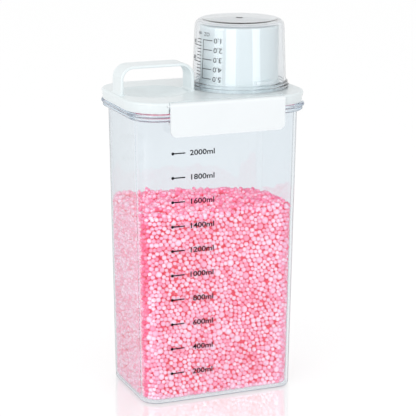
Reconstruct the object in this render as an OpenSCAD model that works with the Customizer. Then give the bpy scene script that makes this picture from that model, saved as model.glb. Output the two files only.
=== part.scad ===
// Clear storage and dosing jar for laundry beads or powder, with a white lid.
// The lid has a carrying handle, a pouring neck and two clips that hook under the jar's flange.
// A clear measuring cup stands upside down over the neck.
// X runs along the long side, Y to the back, Z up. The origin is under the middle of the jar.

/* [Jar] */
// Width of the jar at its foot
jar_w = 127.4; // [118:0.2:136]
// Depth of the jar at its foot
jar_d = 84.6; // [78:0.2:96]
// Corner radius of the jar at its foot, seen from above
jar_r = 14; // [9:0.5:20]
// How far each wall leans out for each millimetre of height
jar_draft = 0.016; // [0.012:0.001:0.018]
// Thickness of the jar's walls
jar_wall = 2.2; // [1.6:0.1:3]
// Thickness of the jar's floor
jar_floor = 2.2; // [1.8:0.1:4]
// Rounding between the walls and the foot
foot_r = 1.8; // [1.2:0.1:5]
// Height of the flange's underside above the table
flange_z = 227.5; // [190:0.5:240]
// How far the flange stands out from the wall
flange_out = 5.7; // [5.3:0.1:6.2]
// Height of each of the two beads that the flange's edge is made of
flange_bead = 3; // [2.4:0.1:3.4]
// How far the flange's lower bead is set back from the upper one
flange_step = 1.2; // [0.6:0.1:1.6]
// Height of the mouth's rim above the flange
rim_h = 3.3; // [2.4:0.1:4]

/* [Fill] */
// Height of the level fill above the table
fill_z = 151; // [40:0.5:185]
// How much the middle of the fill is heaped up
fill_crown = 3; // [1:0.5:6]
// Radius of the beads that stand out of the fill
bead_r = 3; // [2:0.25:4]
// How far these beads stand out
bead_out = 2.6; // [1.5:0.1:3]
// Distance from one such bead to the next
bead_pitch = 13; // [12:0.5:20]

/* [Lid] */
// How far the lid stands out past the flange at its two ends
lid_over_end = 1; // [0.4:0.1:2]
// How far the lid stands out past the flange at its two long sides
lid_over_side = 0.4; // [0.2:0.1:1]
// Corner radius of the lid, seen from above
lid_r = 29; // [24:0.5:34]
// Thickness of the lid's plate
plate_t = 2.4; // [2:0.1:2.6]
// Thickness of the lid's skirt
skirt_t = 2.1; // [1.6:0.1:2.4]
// How far the skirt draws in at its lower edge
skirt_draw = 1.3; // [0:0.1:1.5]
// Rounding of the lid's upper edge
lid_edge_r = 1.5; // [0.8:0.1:2]
// Thickness of the two ribs that hold the gasket
rib_t = 1.2; // [1:0.05:1.3]
// Depth of the inner rib below the plate
plug_h = 7.5; // [5:0.5:10]
// Distance between the finger dish and the handle's legs
dish_gap = 1; // [0.6:0.2:6]
// Depth of the finger dish
dish_depth = 4.5; // [2:0.1:5.5]

/* [Handle] */
// Distance between the handle's outer leg and the end of the lid
handle_end = 2.9; // [2:0.1:6]
// Distance between the handle's inner leg and the cup's lip
handle_gap = 2.7; // [1.5:0.1:8]
// Height of the handle above the lid
handle_h = 22.4; // [18:0.2:35]
// Width of the handle's strap, front to back
strap_w = 20; // [14:0.5:24]
// Thickness of the handle's strap
strap_t = 2.3; // [1.8:0.1:3]
// Outer radius of the handle's two upper corners
handle_r = 11; // [6:0.5:14]
// Rounding of the strap's long edges
strap_edge_r = 0.9; // [0.4:0.1:1.1]
// Radius of the flare at the foot of each leg
flare_r = 2; // [1:0.1:2.5]

/* [Neck and cup] */
// Distance between the cup's lip and the end of the lid
cup_end = 3.2; // [2:0.1:6]
// Outer radius of the neck
neck_r = 31; // [26:0.5:31.5]
// Wall of the neck
neck_wall = 2.2; // [1.6:0.1:3]
// Height of the neck above the lid
neck_h = 49.6; // [30:0.2:60]
// Height of the neck's foot collar
collar_h = 6; // [3:0.5:8]
// How far the collar stands out from the neck
collar_out = 0.6; // [0.3:0.1:1]
// Number of lugs round the neck that grip the cup
lug_count = 2; // [2:1:4]
// Angle of the first lug, from +X
lug_angle = -78; // [-90:1:-60]
// Angle that each lug takes
lug_span = 25; // [15:1:40]
// Height of each lug
lug_h = 2.4; // [1.5:0.1:4]
// Gap between the neck's collar and the cup's wall
cup_gap = 4.2; // [3.6:0.1:4.4]
// Wall of the cup
cup_wall = 1.6; // [1.2:0.1:2.2]
// Thickness of the cup's floor
cup_floor = 1.8; // [1.2:0.1:2.6]
// How far the cup narrows from its lip to its floor
cup_draw = 2.1; // [1:0.1:2.6]
// Rounding between the cup's wall and its floor
cup_edge_r = 6; // [3:0.5:9]
// How far the cup's lip stands out
lip_out = 1.9; // [1:0.1:2.4]
// Height of the cup's lip
lip_h = 4.8; // [3:0.1:7]
// Rounding of the lip's two edges
lip_edge_r = 0.8; // [0.4:0.1:1.4]
// Space between the top of the neck and the cup's floor
cup_headroom = 2.6; // [1.5:0.1:6]

/* [Latches] */
// Distance between each end of a latch and the end of the lid
latch_end = 27; // [25:0.5:40]
// Thickness of a latch's plate
latch_t = 2; // [1.6:0.1:2.2]
// How far a latch stands out from the lid
latch_proud = 2; // [1.8:0.1:2.6]
// Height of a latch
latch_h = 26.2; // [20:0.2:34]
// Radius of a latch's two lower corners
latch_r = 5; // [2:0.5:8]
// Radius of a latch's hinge barrel
barrel_r = 2.2; // [2:0.05:2.3]
// Radius of the hinge pins at both ends of a latch
pin_r = 1.1; // [0.8:0.05:1.2]
// Length of each hinge pin
pin_l = 2; // [1.5:0.1:2.4]
// Thickness of a latch's hook at its tip
hook_h = 2.3; // [1.8:0.1:3]
// How far the hook reaches inwards past the hinge
hook_in = 2.2; // [1.8:0.1:2.5]
// Wall round each pin's bore in the lid
bore_wall = 2.3; // [1.6:0.1:3]

/* [Fits] */
// Running gap between a hinge pin and its bore
pin_fit = 0.06; // [0.03:0.01:0.1]
// Running gap between the neck's lugs and the cup
lug_fit = 0.08; // [0.03:0.01:0.1]
// Gap between parts that close on each other
seat_gap = 0.3; // [0.2:0.05:0.4]
// Gap between a latch's ends and the notch it lies in
notch_gap = 0.4; // [0.3:0.05:0.6]
// Gap on both sides of the jar's rim in the lid's channel
channel_gap = 0.35; // [0.25:0.05:0.45]
// Gap between the gasket and the lid's ribs
gasket_gap = 0.15; // [0.1:0.05:0.25]
// Gap between a latch's barrel and the lid's outer rib
hinge_gap = 0.9; // [0.6:0.1:1.2]
// Gap between the flange and the arc that the hook swings on
hook_gap = 0.42; // [0.3:0.02:0.6]
// Gap between a pin's end and the end of its bore
pin_end_gap = 0.25; // [0.15:0.05:0.4]

/* [Hidden] */
$fn = 96;
eps = 0.01;

// How far a cut runs past the faces that it goes through
cut = 1;

// Places along Z
flange_h = 2 * flange_bead;
flange_top = flange_z + flange_h;
rim_z = flange_top + rim_h;
gasket_h = 3;
roof_z = rim_z + gasket_h;
top_z = roof_z + plate_t;
skirt_z = flange_top + seat_gap;

// Outlines of the flange and of the lid over it
flange_w = jar_w + 2 * jar_draft * flange_z + 2 * flange_out;
flange_d = jar_d + 2 * jar_draft * flange_z + 2 * flange_out;
lid_w = flange_w + 2 * lid_over_end;
lid_d = flange_d + 2 * lid_over_side;

// The jar's mouth, where the rim stands
rim_w = jar_w + 2 * jar_draft * rim_z;
rim_d = jar_d + 2 * jar_draft * rim_z;
rim_r = jar_r + jar_draft * rim_z;

// Channel between the lid's two ribs, which the rim and the gasket lie in
rib_w = rim_w + 2 * channel_gap;
rib_d = rim_d + 2 * channel_gap;
rib_r = rim_r + channel_gap;
channel_t = jar_wall + 2 * channel_gap;

// How far in from the walls the heap of the fill stops rising
heap_run = jar_d / 3;

// Hinges of the latches, with u measured outwards from the jar's middle
latch_w = lid_w - 2 * latch_end;
notch_w = latch_w + 2 * notch_gap;
latch_u = lid_d / 2 + latch_proud;
rib_u = rib_d / 2 + rib_t;
hinge_u = rib_u + hinge_gap + barrel_r;
hinge_z = top_z - seat_gap - barrel_r;
catch_u = flange_d / 2 - flange_step - flange_bead / 2;
hook_arc = norm([catch_u - hinge_u, hinge_z - flange_z]) + hook_gap;

// The neck and the cup over it
cup_z = top_z + seat_gap;
cup_in_r = neck_r + collar_out + cup_gap;
cup_out_r = cup_in_r + cup_wall;
cup_h = neck_h - seat_gap + cup_headroom + cup_floor;
neck_x = lid_w / 2 - cup_end - cup_out_r - lip_out;
lug_z = top_z + collar_h;
lug_r = cup_in_r - cup_draw * (lug_z + lug_h - cup_z) / cup_h - lug_fit;

// The handle fills the room that the cup leaves on the lid
handle_w = lid_w - handle_end - handle_gap - 2 * (cup_out_r + lip_out) - cup_end;
handle_x = handle_end + (handle_w - lid_w) / 2;
dish_dia = handle_w - 2 * strap_t - 2 * dish_gap;

// 2D rounded rectangle round the origin
module rounded(w, d, r) {
    square([w - 2 * r, d], center = true);
    square([w, d - 2 * r], center = true);
    for (sx = [-1, 1], sy = [-1, 1])
        translate([sx * (w / 2 - r), sy * (d / 2 - r)])
            circle(r);
}

// Rounded slab with its underside at z
module slab(w, d, r, z, h) {
    translate([0, 0, z])
        linear_extrude(h)
            rounded(w, d, r);
}

// Runs a profile round a rounded rectangle. In the profile x points outwards from the outline, y is up.
module run_round(w, d, r) {
    for (turn = [0, 180]) {
        rotate(turn) {
            translate([w / 2, d / 2 - r, 0])
                rotate([90, 0, 0])
                    linear_extrude(d - 2 * r)
                        children();
            rotate(90)
                translate([d / 2, w / 2 - r, 0])
                    rotate([90, 0, 0])
                        linear_extrude(w - 2 * r)
                            children();
            translate([w / 2 - r, d / 2 - r, 0])
                rotate_extrude(angle = 90)
                    translate([r, 0])
                        children();
            translate([r - w / 2, d / 2 - r, 0])
                rotate([0, 0, 90])
                    rotate_extrude(angle = 90)
                        translate([r, 0])
                            children();
        }
    }
}

// The jar's leaning walls as one convex block, drawn in by inset on every side
module jar_block(inset, bottom, top, edge_r) {
    hull() {
        for (t = [0:15:90]) {
            z = bottom + edge_r * (1 - sin(t));
            draw = inset + edge_r * (1 - cos(t)) - jar_draft * z;
            slab(jar_w - 2 * draw, jar_d - 2 * draw, jar_r - draw, z, eps, $fn = 48);
        }
        draw = inset - jar_draft * top;
        slab(jar_w - 2 * draw, jar_d - 2 * draw, jar_r - draw, top - eps, eps, $fn = 48);
    }
}

// Edge of the flange: two rounded beads on a web that meets the wall, the lower one set back
module flange_profile() {
    bead_r = flange_bead / 2;
    for (i = [0, 1]) {
        bead_x = flange_out - bead_r - (1 - i) * flange_step;
        translate([bead_x, bead_r + i * flange_bead])
            circle(bead_r, $fn = 40);
        translate([-jar_wall / 2, i * flange_bead])
            square([bead_x + jar_wall / 2, flange_bead]);
    }
}

module jar() {
    wall_w = jar_w + 2 * jar_draft * flange_z;
    wall_d = jar_d + 2 * jar_draft * flange_z;
    color([0.86, 0.93, 0.98, 0.35])
        union() {
            difference() {
                jar_block(0, 0, rim_z, foot_r);
                jar_block(jar_wall, jar_floor, rim_z + cut, foot_r);
            }
            translate([0, 0, flange_z])
                run_round(wall_w, wall_d, jar_r + jar_draft * flange_z)
                    flange_profile();
        }
}

// One bead that stands out of the fill along +Z, with its foot sunk into it
module proud_bead() {
    translate([0, 0, -bead_r / 2])
        cylinder(r1 = bead_r, r2 = bead_r / 2, h = bead_out + bead_r / 2, $fn = 6);
}

// One row of beads round the fill's four sides, with one more at each corner. Odd rows lie half a step along.
module bead_row(row, z, inset) {
    grow = 2 * (jar_draft * z - inset);
    r = jar_r + grow / 2;
    for (turn = [0:3]) {
        w = (turn % 2 == 0 ? jar_w : jar_d) + grow;
        d = (turn % 2 == 0 ? jar_d : jar_w) + grow;
        steps = floor((w - 2 * r) / bead_pitch) - row % 2;
        rotate(90 * turn) {
            for (i = [0:steps])
                translate([(i - steps / 2) * bead_pitch, -d / 2, z])
                    rotate([90, 0, 0])
                        proud_bead();
            translate([w / 2 - r, r - d / 2, z])
                rotate([90, 0, 45])
                    translate([0, 0, r])
                        proud_bead();
        }
    }
}

// Rise of the heap at a place that lies in from the nearest wall
function heap(from_wall) = fill_crown * sqrt(1 - pow(1 - min(1, max(0, from_wall) / heap_run), 2));

// Beads on the heap, in rows that lie half a step along by turns
module heap_beads(w, d) {
    row_pitch = bead_pitch * sin(60);
    rows = floor((d - 2 * jar_r) / row_pitch);
    for (row = [0:rows]) {
        y = (row - rows / 2) * row_pitch;
        steps = floor((w - 2 * jar_r) / bead_pitch) - row % 2;
        for (i = [0:steps]) {
            x = (i - steps / 2) * bead_pitch;
            translate([x, y, fill_z - bead_out + heap(min(w / 2 - abs(x), d / 2 - abs(y)))])
                proud_bead();
        }
    }
}

// The fill: a block drawn in by the height of the beads that stand out of it, heaped a little in the middle
module beads() {
    wall_gap = jar_wall + seat_gap;
    inset = wall_gap + bead_out;
    foot_in = max(inset, wall_gap + foot_r);
    top = fill_z - bead_out;
    top_r = jar_r - inset + jar_draft * top;
    row_pitch = bead_pitch * sin(60);
    low_z = jar_floor + foot_r + bead_r;
    rows = floor((top - bead_r - low_z) / row_pitch);
    color([0.96, 0.62, 0.74])
        union() {
            hull() {
                slab(jar_w - 2 * foot_in, jar_d - 2 * foot_in, jar_r - foot_in, jar_floor, eps, $fn = 32);
                slab(jar_w - 2 * inset, jar_d - 2 * inset, jar_r - inset, jar_floor + foot_r, eps, $fn = 32);
                for (step = [0:3]) {
                    rise = fill_crown * sin(30 * step);
                    draw = inset + heap_run * (1 - cos(30 * step)) - jar_draft * top;
                    slab(jar_w - 2 * draw, jar_d - 2 * draw, top_r, top + rise - eps, eps, $fn = 32);
                }
            }
            for (row = [0:rows])
                bead_row(row, low_z + row * row_pitch, inset);
            heap_beads(jar_w - 2 * inset, jar_d - 2 * inset);
        }
}

// Skirt and rounded upper edge of the lid, cut through
module skirt_profile() {
    h = top_z - skirt_z;
    polygon([
        [-skirt_draw - skirt_t, 0],
        [-skirt_draw, 0],
        [0, h - lid_edge_r],
        [-lid_edge_r, h - lid_edge_r],
        [-lid_edge_r, h],
        [-lid_r / 2, h],
        [-lid_r / 2, h - plate_t],
        [-skirt_draw - skirt_t, h - plate_t],
    ]);
    translate([-lid_edge_r, h - lid_edge_r])
        circle(lid_edge_r, $fn = 40);
}

// The two ribs under the plate, between which the gasket lies
module rib_profiles() {
    translate([0, skirt_z])
        square([rib_t, top_z - plate_t / 2 - skirt_z]);
    translate([-channel_t - rib_t, roof_z - plug_h])
        square([rib_t, plug_h + plate_t / 2]);
}

// Places on the front of the lid, or on the back with side = -1
module on_side(side) {
    rotate(side == 1 ? 0 : 180)
        children();
}

// Room in the lid's edge for a latch and its sweep
module latch_notch() {
    translate([-notch_w / 2, -lid_d, skirt_z - cut])
        cube([notch_w, lid_d - rib_u, top_z - skirt_z + 2 * cut]);
}

// Solid cheeks at both ends of a notch, which carry the latch's pins
module latch_cheeks() {
    cheek_t = pin_l + skirt_t / 2;
    drop = pin_r + bore_wall;
    for (side = [-1, 1])
        translate([side * (notch_w + cheek_t) / 2 - cheek_t / 2, -lid_d / 2, hinge_z - drop])
            cube([cheek_t, lid_d / 2 - rib_u + rib_t, top_z - hinge_z + drop - plate_t / 2]);
}

module pin_bores() {
    l = latch_w + 2 * pin_l + 2 * pin_end_gap;
    translate([-l / 2, -hinge_u, hinge_z])
        rotate([0, 90, 0])
            cylinder(r = pin_r + pin_fit, h = l);
}

// Finger dish, a shallow cap of a ball
module dish_ball(grow) {
    r = (pow(dish_dia / 2, 2) + pow(dish_depth, 2)) / (2 * dish_depth);
    translate([handle_x, 0, top_z - dish_depth + r])
        sphere(r + grow, $fn = 180);
}

// Cross-section of the handle's strap, with rounded long edges
module strap_section() {
    rounded(strap_t, strap_w, strap_edge_r, $fn = 32);
}

// Leg of the handle with a flared foot, on the side that side names
module handle_leg(side) {
    leg_h = handle_h - handle_r;
    sunk = plate_t / 2;
    translate([side * (handle_w - strap_t) / 2, 0, -sunk])
        linear_extrude(leg_h + sunk)
            strap_section();
    for (face = [-1, 1])
        translate([side * (handle_w - strap_t) / 2, strap_w / 2 - strap_edge_r, 0])
            rotate([90, 0, 0])
                linear_extrude(strap_w - 2 * strap_edge_r)
                    scale([face, 1])
                        flare_corner();
}

// Concave corner between a leg's face and the lid
module flare_corner() {
    sunk = strap_t / 4;
    difference() {
        translate([strap_t / 2 - sunk, -sunk])
            square(flare_r + sunk);
        translate([strap_t / 2 + flare_r, flare_r])
            circle(flare_r, $fn = 40);
    }
}

module handle() {
    translate([handle_x, 0, top_z]) {
        for (side = [-1, 1])
            handle_leg(side);
        for (side = [0, 1])
            mirror([side, 0, 0])
                translate([handle_w / 2 - handle_r, 0, handle_h - handle_r])
                    rotate([90, 0, 0])
                        rotate_extrude(angle = 90)
                            translate([handle_r - strap_t / 2, 0])
                                strap_section();
        translate([handle_r - handle_w / 2, 0, handle_h - strap_t / 2])
            rotate([0, 90, 0])
                linear_extrude(handle_w - 2 * handle_r)
                    strap_section();
    }
}

// Half-section of the pouring neck, with its collar and rounded mouth
module neck_profile() {
    mouth_r = neck_wall / 2;
    translate([neck_r - neck_wall, -plate_t])
        square([neck_wall, neck_h + plate_t - mouth_r]);
    translate([neck_r - mouth_r, neck_h - mouth_r])
        circle(mouth_r, $fn = 40);
    translate([neck_r - neck_wall, -plate_t / 2])
        square([neck_wall + collar_out, collar_h + plate_t / 2]);
}

module neck() {
    translate([neck_x, 0, top_z]) {
        rotate_extrude()
            neck_profile();
        for (i = [0:lug_count - 1])
            rotate(lug_angle - lug_span / 2 + i * 360 / lug_count)
                rotate_extrude(angle = lug_span)
                    translate([neck_r - neck_wall / 2, collar_h])
                        square([lug_r - neck_r + neck_wall / 2, lug_h]);
    }
}

module lid() {
    // The inner rib's outline, which keeps the underside of the dish clear of the channel
    plug_in = channel_t + rib_t / 2;
    plug_w = rib_w - 2 * plug_in;
    plug_d = rib_d - 2 * plug_in;
    color([0.96, 0.98, 0.99])
        difference() {
            union() {
                difference() {
                    union() {
                        translate([0, 0, skirt_z])
                            run_round(lid_w, lid_d, lid_r)
                                skirt_profile();
                        slab(lid_w - lid_r + cut, lid_d - lid_r + cut, (lid_r + cut) / 2, roof_z, plate_t);
                    }
                    for (side = [1, -1])
                        on_side(side)
                            latch_notch();
                }
                run_round(rib_w, rib_d, rib_r)
                    rib_profiles();
                for (side = [1, -1])
                    on_side(side)
                        intersection() {
                            latch_cheeks();
                            slab(lid_w - 2 * skirt_draw, lid_d - 2 * skirt_draw, lid_r, skirt_z, top_z);
                        }
                intersection() {
                    dish_ball(plate_t);
                    slab(plug_w, plug_d, rib_r - plug_in, roof_z - plug_h, plug_h + plate_t / 2);
                    translate([handle_x, 0, roof_z - plug_h])
                        cylinder(d = dish_dia, h = plug_h + plate_t);
                }
                neck();
                handle();
            }
            intersection() {
                dish_ball(0);
                translate([handle_x, 0, top_z - dish_depth - cut])
                    cylinder(d = dish_dia + cut, h = dish_depth + cut + eps);
            }
            for (side = [1, -1])
                on_side(side)
                    pin_bores();
            translate([neck_x, 0, roof_z - cut])
                cylinder(r = neck_r - neck_wall, h = neck_h + plate_t + 2 * cut);
        }
}

// Soft ring on the jar's rim, with a groove that leaves two sealing lips
module gasket_profile() {
    w = channel_t - 2 * gasket_gap;
    translate([-w - gasket_gap, 0])
        difference() {
            square([w, gasket_h]);
            translate([w / 2, 0])
                circle(w / 5, $fn = 24);
        }
}

module gasket() {
    color([0.9, 0.93, 0.95])
        translate([0, 0, rim_z])
            run_round(rib_w, rib_d, rib_r)
                gasket_profile();
}

// Cross-section of a latch, with u outwards as x and z as y
module latch_section() {
    tip_u = hinge_u - hook_in;
    tip_z = hinge_z - hook_arc - hook_h;
    translate([latch_u - latch_t, top_z - latch_h])
        square([latch_t, hinge_z - top_z + latch_h]);
    for (u = [hinge_u, latch_u - barrel_r])
        translate([u, hinge_z])
            circle(barrel_r, $fn = 64);
    translate([hinge_u, hinge_z - barrel_r])
        square([latch_u - barrel_r - hinge_u, 2 * barrel_r]);
    difference() {
        translate([tip_u, tip_z])
            square([latch_u - latch_t / 2 - tip_u, hook_h + hook_arc / 4]);
        translate([hinge_u, hinge_z])
            circle(hook_arc, $fn = 180);
        translate([tip_u, tip_z])
            circle(hook_h / 2, $fn = 4);
    }
}

// A latch seen from the front, with its two rounded lower corners
module latch_front() {
    translate([0, top_z - latch_h / 2]) {
        rounded(latch_w, latch_h, latch_r);
        translate([-latch_w / 2, 0])
            square([latch_w, latch_h / 2]);
    }
}

module latch() {
    union() {
        intersection() {
            translate([latch_w / 2, 0, 0])
                rotate([90, 0, -90])
                    linear_extrude(latch_w)
                        latch_section();
            rotate([90, 0, 0])
                linear_extrude(lid_d)
                    latch_front();
        }
        for (side = [-1, 1])
            translate([side * latch_w / 2, -hinge_u, hinge_z])
                rotate([0, side * 90, 0])
                    translate([0, 0, -pin_l])
                        cylinder(r = pin_r, h = 2 * pin_l);
    }
}

module front_latch() {
    color([0.99, 1, 1])
        latch();
}

module rear_latch() {
    color([0.99, 1, 1])
        on_side(-1)
            latch();
}

// Half-section of the cup, drawn in by inset and run on below its mouth, mouth down
module cup_outline(inset, floor_t, below) {
    r_low = cup_out_r - inset;
    r_high = cup_out_r - cup_draw - inset;
    edge_r = cup_edge_r - inset;
    h = cup_h - floor_t;
    polygon([[0, -below], [r_low, -below], [r_low, 0], [r_high, h - edge_r], [r_high - edge_r, h], [0, h]]);
    intersection() {
        translate([r_high - edge_r, h - edge_r])
            circle(edge_r, $fn = 64);
        square([cup_out_r, cup_h]);
    }
}

module lip_profile() {
    tip_r = cup_out_r + lip_out - lip_edge_r;
    translate([cup_in_r, 0])
        square([tip_r - cup_in_r, lip_h]);
    translate([cup_in_r, lip_edge_r])
        square([cup_wall + lip_out, lip_h - 2 * lip_edge_r]);
    for (y = [lip_edge_r, lip_h - lip_edge_r])
        translate([tip_r, y])
            circle(lip_edge_r, $fn = 32);
}

module measuring_cup() {
    color([0.87, 0.93, 0.98, 0.4])
        translate([neck_x, 0, cup_z])
            rotate_extrude()
                difference() {
                    union() {
                        cup_outline(0, 0, 0);
                        lip_profile();
                    }
                    cup_outline(cup_wall, cup_floor, cut);
                }
}

jar();
beads();
lid();
gasket();
front_latch();
rear_latch();
measuring_cup();
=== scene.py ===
"""Looks of a clear storage jar with a white lid, two clips and a measuring cup.

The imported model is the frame. The jar, the cup and the fill get finer meshes in the
same places, the white parts keep their own meshes with rounded edges, and both printed
scales are thin ink solids.
"""

import logging
import math
from dataclasses import dataclass, field
from enum import Enum
from typing import Callable, Iterable, Sequence

import bmesh
import bpy
import numpy as np
from mathutils import Matrix, Vector, kdtree


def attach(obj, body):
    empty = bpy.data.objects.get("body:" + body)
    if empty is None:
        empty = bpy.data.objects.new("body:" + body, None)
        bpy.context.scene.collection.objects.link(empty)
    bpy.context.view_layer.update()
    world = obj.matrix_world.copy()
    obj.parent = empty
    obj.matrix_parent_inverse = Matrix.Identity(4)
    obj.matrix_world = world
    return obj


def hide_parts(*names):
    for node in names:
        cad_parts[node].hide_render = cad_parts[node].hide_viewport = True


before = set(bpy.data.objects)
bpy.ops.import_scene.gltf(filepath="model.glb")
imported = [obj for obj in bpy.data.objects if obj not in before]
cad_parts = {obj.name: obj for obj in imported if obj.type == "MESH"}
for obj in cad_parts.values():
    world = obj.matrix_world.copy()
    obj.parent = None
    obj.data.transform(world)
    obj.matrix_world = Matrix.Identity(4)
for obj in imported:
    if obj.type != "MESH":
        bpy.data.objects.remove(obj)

log = logging.getLogger("jar")

MM = 0.001
FIGURE_SHARE = 0.72  # height of a figure in a font of size 1

Colour = tuple[float, float, float]
Point2 = tuple[float, float]


class Body(Enum):
    """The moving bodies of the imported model."""

    CONTAINER = "container"
    FRONT_CLIP = "front_clip"
    REAR_CLIP = "rear_clip"
    CUP = "cup"


class Side(Enum):
    """The parts of the fill that are seen from outside, by the way they face."""

    FRONT = "front"
    RIGHT = "right"
    REAR = "rear"
    LEFT = "left"


class Align(Enum):
    """How a printed word lies against its place."""

    CENTRE = "CENTER"
    RIGHT = "RIGHT"


# Node trees.


class Tree:
    """A node tree that is being wired."""

    def __init__(self, tree: bpy.types.NodeTree) -> None:
        """Starts from an empty tree.

        Args:
            tree: The tree, whose nodes are cleared.
        """
        self.tree = tree
        tree.nodes.clear()

    def node(self, kind: str, inputs: dict | None = None, **settings: object) -> bpy.types.Node:
        """Adds a node.

        Args:
            kind: The node's type name.
            inputs: Constants and other nodes' outputs, by the input that takes them.
            settings: Properties to set on it.

        Returns:
            The new node.
        """
        made = self.tree.nodes.new(kind)
        for name, value in settings.items():
            setattr(made, name, value)
        for name, value in (inputs or {}).items():
            if isinstance(value, bpy.types.NodeSocket):
                self.link(value, made.inputs[name])
            else:
                made.inputs[name].default_value = value
        return made

    def link(self, source: bpy.types.NodeSocket, target: bpy.types.NodeSocket) -> None:
        """Joins two sockets."""
        self.tree.links.new(source, target)

    def math(self, operation: str, *values: object, clamp: bool = False) -> bpy.types.NodeSocket:
        """Works out a sum of constants and other nodes' outputs."""
        inputs = dict(enumerate(values))
        return self.node("ShaderNodeMath", inputs, operation=operation, use_clamp=clamp).outputs[0]

    def ranged(self, value: bpy.types.NodeSocket, start: Point2, end: Point2) -> bpy.types.NodeSocket:
        """Maps one range of a value to another, and keeps the value inside it."""
        names = ("Value", "From Min", "From Max", "To Min", "To Max")
        inputs = dict(zip(names, (value, *start, *end)))
        return self.node("ShaderNodeMapRange", inputs).outputs["Result"]

    def mixed(self, share: object, first: object, second: object, blend: str = "MIX") -> bpy.types.NodeSocket:
        """Mixes two colours, given as constants or as other nodes' outputs."""
        inputs = {"Factor": share, "A": first, "B": second}
        made = self.node("ShaderNodeMix", inputs, data_type="RGBA", blend_type=blend)
        return made.outputs["Result"]


def new_material(name: str) -> tuple[bpy.types.Material, Tree]:
    """Makes a material with an empty tree.

    Args:
        name: The material's name.

    Returns:
        The material and its tree.
    """
    material = bpy.data.materials.new(name)
    material.use_nodes = True
    return material, Tree(material.node_tree)


class MouldGrain:
    """Node group for the faint grain and flow marks of moulded plastic."""

    NAME = "mould_grain"
    GRAIN_SHARE = 0.6

    @classmethod
    def group(cls) -> bpy.types.NodeTree:
        """Builds the group once.

        Returns:
            The group, with Grain Size, Flow Size and Spread going in, Height and Shade coming out.
        """
        if cls.NAME in bpy.data.node_groups:
            return bpy.data.node_groups[cls.NAME]
        group = bpy.data.node_groups.new(cls.NAME, "ShaderNodeTree")
        face = group.interface
        for name, value in (("Grain Size", 900.0), ("Flow Size", 25.0), ("Spread", 0.04)):
            socket = face.new_socket(name, in_out="INPUT", socket_type="NodeSocketFloat")
            socket.default_value = value
        for name in ("Height", "Shade"):
            face.new_socket(name, in_out="OUTPUT", socket_type="NodeSocketFloat")
        tree = Tree(group)
        into = tree.node("NodeGroupInput")
        place = tree.node("ShaderNodeTexCoord").outputs["Object"]
        noises = []
        for size, detail in (("Grain Size", 3.0), ("Flow Size", 2.0)):
            inputs = {"Vector": place, "Scale": into.outputs[size], "Detail": detail}
            noises.append(tree.node("ShaderNodeTexNoise", inputs).outputs["Fac"])
        grain, flow = noises
        inputs = {"Factor": cls.GRAIN_SHARE, "A": grain, "B": flow}
        height = tree.node("ShaderNodeMix", inputs, data_type="FLOAT").outputs["Result"]
        centred = tree.math("SUBTRACT", flow, 0.5)
        shade = tree.math("MULTIPLY_ADD", centred, into.outputs["Spread"], 1.0)
        tree.node("NodeGroupOutput", {"Height": height, "Shade": shade})
        return group

    @classmethod
    def place(cls, tree: Tree, grain: float, flow: float, spread: float) -> bpy.types.Node:
        """Puts the group into a material.

        Args:
            tree: The material's tree.
            grain: Fineness of the grain.
            flow: Fineness of the flow marks.
            spread: How far the flow marks lighten and darken.

        Returns:
            The group's node.
        """
        inputs = {"Grain Size": grain, "Flow Size": flow, "Spread": spread}
        return tree.node("ShaderNodeGroup", inputs, node_tree=cls.group())

    @staticmethod
    def bump(tree: Tree, grain: bpy.types.Node, strength: float, height: float) -> bpy.types.NodeSocket:
        """Turns the grain's height, in millimetres, into a bumpy surface."""
        inputs = {"Strength": strength, "Distance": height * MM, "Height": grain.outputs["Height"]}
        return tree.node("ShaderNodeBump", inputs).outputs["Normal"]


# Finishes.


@dataclass(frozen=True)
class OpaquePlastic:
    """Moulded opaque plastic, also used for the soft seal and the ink."""

    name: str
    colour: Colour
    roughness: float
    grain: float
    flow: float
    spread: float
    bump: float
    coat: float = 0.0
    shine: float = 0.5
    coat_roughness: float = 0.12
    grain_height: float = 0.05

    def make(self) -> bpy.types.Material:
        """Builds the material.

        Returns:
            The material.
        """
        material, tree = new_material(self.name)
        grain = MouldGrain.place(tree, self.grain, self.flow, self.spread)
        inputs = {
            "Base Color": tree.mixed(1.0, (*self.colour, 1.0), grain.outputs["Shade"], "MULTIPLY"),
            "Roughness": self.roughness,
            "Specular IOR Level": self.shine,
            "Coat Weight": self.coat,
            "Coat Roughness": self.coat_roughness,
            "Normal": MouldGrain.bump(tree, grain, self.bump, self.grain_height),
        }
        shader = tree.node("ShaderNodeBsdfPrincipled", inputs)
        tree.node("ShaderNodeOutputMaterial", {"Surface": shader.outputs["BSDF"]})
        return material


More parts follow.
